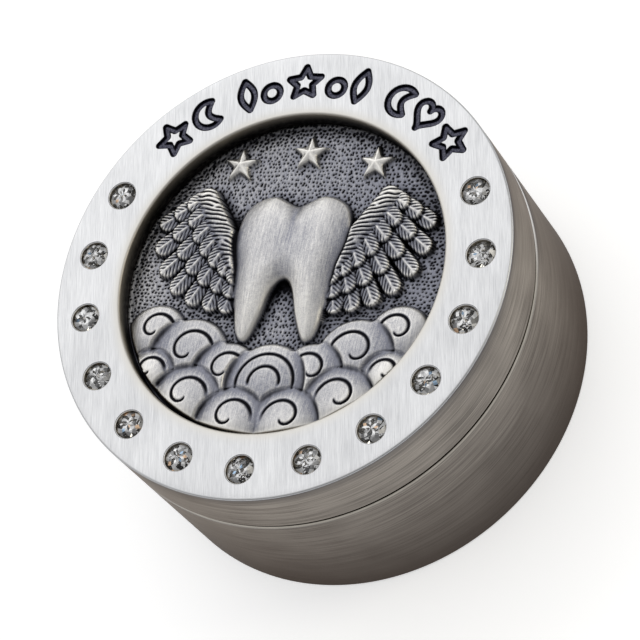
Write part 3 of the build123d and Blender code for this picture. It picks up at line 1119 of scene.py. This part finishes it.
def crystal_facets(shader):
    """A chance value and colour for each kite-shaped facet seen in a stone, by the stone's own middle."""
    pitch = math.radians(crystal_pitch)
    x, y, z = shader.parts("ShaderNodeSeparateXYZ", shader.coords)
    stone = shader.math("ROUND", (shader.math("ARCTAN2", y, x) + math.pi / 2) / pitch)
    middle = stone * pitch - math.pi / 2
    dx = x - shader.math("COSINE", middle) * crystal_circle
    dy = y - shader.math("SINE", middle) * crystal_circle
    away = shader.math("SQRT", dx * dx + dy * dy) * (facet_rows / crystal_radius)
    round_it = shader.math("ARCTAN2", dy, dx) * (facet_sectors / (2 * math.pi))
    steps = {0: shader.math("FLOOR", round_it + away), 1: shader.math("FLOOR", round_it - away), 2: stone}
    return shader.parts("ShaderNodeTexWhiteNoise", shader.field("ShaderNodeCombineXYZ", steps))


def make_crystal_material():
    """Clear glass over a mirrored back. Some of the facets seen from above are painted white, tinted or
    dark, as painted glints and reflections.
    """
    shader = Shader("crystal")
    geometry = shader.add("ShaderNodeNewGeometry")
    up = shader.parts("ShaderNodeSeparateXYZ", geometry.outputs["True Normal"])[2]
    back = up * (1.0 - Field(shader, geometry.outputs["Backfacing"]) * 2.0) < -0.2
    value, colour = crystal_facets(shader)
    bright, cold, tinted = shader.parts("ShaderNodeSeparateColor", colour)
    # Painted glints: warm or cold tints, white flashes and dark facets, by chance for each facet.
    glint = shader.mix(cold > 0.5, (1.0, 0.72, 0.50), (0.55, 0.76, 1.0))
    flash = shader.mix(tinted > 0.93, (1.0, 1.0, 1.0), glint)
    flash = shader.mix(shader.spread(bright, 0.28, 1.0, 0.012, 0.78), (0.012, 0.012, 0.016), flash)
    front = (1.0 - back) * (value > 0.42)
    metal = shader.math("MAXIMUM", back, front)
    return shader.finish(
        Base_Color=shader.mix(front, (1.0, 1.0, 1.0), flash),
        Metallic=metal,
        Roughness=front * 0.38,
        IOR=1.55,
        Transmission_Weight=1.0 - metal,
    )


crystal_glass = make_crystal_material()
for number in range(1, crystal_count + 1):
    dress(f"crystal_{number:02d}", crystal_glass)


# Lining: a card disc and a crowned velvet pad


def make_card_material():
    shader = Shader("card")
    fibre = shader.grain((0.3 * MM,) * 3, detail=5.0)
    colour = shader.mix(fibre, (0.03, 0.03, 0.034), (0.07, 0.068, 0.066))
    return shader.finish(Base_Color=colour, Roughness=0.85, Normal=shader.bump(fibre, 0.03 * MM))


def make_velvet_material():
    shader = Shader("velvet")
    pile = shader.grain((0.14 * MM,) * 3, detail=5.0, roughness=0.7)
    lean = shader.grain((5.0 * MM, 3.0 * MM, 4.0 * MM), detail=2.0)
    colour = shader.fade(0.5 * pile + 0.5 * lean, 0.35, 0.65, (0.010, 0.014, 0.055), (0.035, 0.045, 0.13))
    shader.finish(Sheen_Weight=0.9, Sheen_Roughness=0.35, Sheen_Tint=(0.45, 0.55, 0.9))
    return shader.finish(Base_Color=colour, Roughness=0.9, Normal=shader.bump(pile, 0.10 * MM))


def swell(pad, scale=20.0, voxel=0.75 * MM, reach=0.40 * MM, frames=20):
    """Lets the cover swell like a stuffed pad, at a larger scale, which cloth needs."""
    pad.data.transform(Matrix.Scale(scale, 4))
    remesh = pad.modifiers.new("remesh", "REMESH")
    remesh.mode = "VOXEL"
    remesh.voxel_size = voxel * scale
    apply_modifiers(pad)
    before = vertex_places(pad.data) / scale
    after = before
    held = pad.vertex_groups.new(name="held")
    held.add([int(n) for n in np.flatnonzero(before[:, 2] < board_top_z + 0.3 * MM)], 1.0, "REPLACE")
    cloth = pad.modifiers.new("cloth", "CLOTH")
    cloth.settings.use_pressure = True
    cloth.settings.uniform_pressure_force = 4.0
    cloth.settings.effector_weights.gravity = 0.0
    cloth.settings.vertex_group_mass = "held"
    cloth.point_cache.frame_start, cloth.point_cache.frame_end = 1, frames
    for moment in range(1, frames + 1):
        bpy.context.scene.frame_set(moment)
    apply_modifiers(pad)
    bpy.context.scene.frame_set(1)
    after = vertex_places(pad.data) / scale
    moved = after - before
    far = np.linalg.norm(moved, axis=1, keepdims=True)
    after = before + moved * np.minimum(1, reach / np.maximum(far, 1e-9))
    out = np.hypot(after[:, 0], after[:, 1])
    widest = cavity_radius - 0.12 * MM
    after[:, :2] *= np.minimum(1, widest / np.maximum(out, 1e-9))[:, None]
    after[:, 2] = np.clip(after[:, 2], board_top_z, pad_high.z)
    move_vertices(pad.data, after)
    finer = pad.modifiers.new("finer", "SUBSURF")
    finer.levels = finer.render_levels = 1
    apply_modifiers(pad)


def make_lining():
    dress("lining_board", make_card_material())
    radius = cavity_radius - 0.30 * MM
    crown_z = pad_high.z - 0.30 * MM
    edge_z = crown_z - 0.7 * MM
    corners = [
        (0, board_top_z, 0, 0),
        (radius, board_top_z, 0.7 * MM, 0),
        (radius, edge_z, 0.9 * MM, 0),
        (radius * 0.75, edge_z + 0.42 * MM, 0, 0),
        (radius * 0.5, edge_z + 0.58 * MM, 0, 0),
        (radius * 0.25, crown_z - 0.03 * MM, 0, 0),
        (0, crown_z, 0, 0),
    ]
    pad = lathe("velvet_pad", corners, [make_velvet_material()], even_turns(96))
    swell(pad)
    smooth(pad, 80)
    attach(pad, "base")
    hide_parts("lining_pad")


make_lining()


# Floor, light and camera

floor_glow = 0.52
sky_middle = (-0.48, 0.40, 0.78)
sky_low = 0.34
sky_high = 0.80
camera_place = Vector((124.25, -113.35, 259.87)) * MM
camera_right = Vector((0.90994, 0.17521, -0.37591))
camera_up = Vector((-0.00330, 0.90942, 0.41587))


def make_floor(size=3.0):
    shader = Shader("floor")
    dust = shader.grain((40 * MM,) * 3, detail=3.0)
    shader.finish(Base_Color=shader.mix(dust, (0.86, 0.86, 0.86), (0.90, 0.90, 0.90)), Roughness=0.9)
    rays = shader.add("ShaderNodeLightPath").outputs
    seen = shader.math("MAXIMUM", rays["Is Camera Ray"], rays["Is Glossy Ray"])
    seen = shader.math("MAXIMUM", seen, rays["Is Transmission Ray"])
    glow = shader.field("ShaderNodeEmission", {"Color": (1, 1, 1), "Strength": seen * floor_glow})
    both = shader.field("ShaderNodeAddShader", {0: shader.surface.outputs[0], 1: glow})
    shader.plug(shader.out.inputs["Surface"], both)
    corners = [(-size, -size, 0), (size, -size, 0), (size, size, 0), (-size, size, 0)]
    floor = mesh_object("floor", corners, [(0, 1, 2, 3)], [shader.material])


def make_world():
    """Even grey light, with a broad bright patch of sky over the upper left of the relief."""
    world = bpy.data.worlds.new("studio")
    bpy.context.scene.world = world
    world.use_nodes = True
    sky = Nodes(world.node_tree)
    towards = sky.add("ShaderNodeTexCoord").outputs["Generated"]
    facing = sky.vector_math("DOT_PRODUCT", towards, Vector(sky_middle).normalized(), "Value")
    strength = sky.spread(facing, 0.40, 0.80, sky_low, sky_high, interpolation_type="SMOOTHSTEP")
    ambient = sky.field("ShaderNodeBackground", {"Color": (1, 1, 1), "Strength": strength})
    sky.plug(sky.add("ShaderNodeOutputWorld").inputs["Surface"], ambient)


def area_light(name, place, size, power, colour=(1, 1, 1)):
    light = bpy.data.lights.new(name, "AREA")
    light.shape = "RECTANGLE"
    light.size, light.size_y = size
    light.energy = power
    light.color = colour
    obj = add_object(name, light)
    obj.location = place
    aim = Vector((0, 0, ring_z)) - Vector(place)
    obj.rotation_euler = aim.to_track_quat("-Z", "Y").to_euler()


def make_camera():
    camera = bpy.data.cameras.new("camera")
    camera.sensor_width = 36.0
    camera.lens = 180.0
    camera.clip_start = 0.01
    obj = add_object("camera", camera)
    turned_to = Matrix((camera_right, camera_up, camera_right.cross(camera_up))).transposed()
    obj.matrix_world = Matrix.Translation(camera_place) @ turned_to.to_4x4()
    bpy.context.scene.camera = obj


make_floor()
make_world()
area_light("key", (-0.47, 0.58, 0.68), (0.85, 0.80), 1.5)
area_light("fill", (0.55, 0.25, 0.30), (0.25, 0.5), 0.7, (1.0, 0.93, 0.76))
make_camera()
bpy.context.scene.view_settings.view_transform = "Standard"
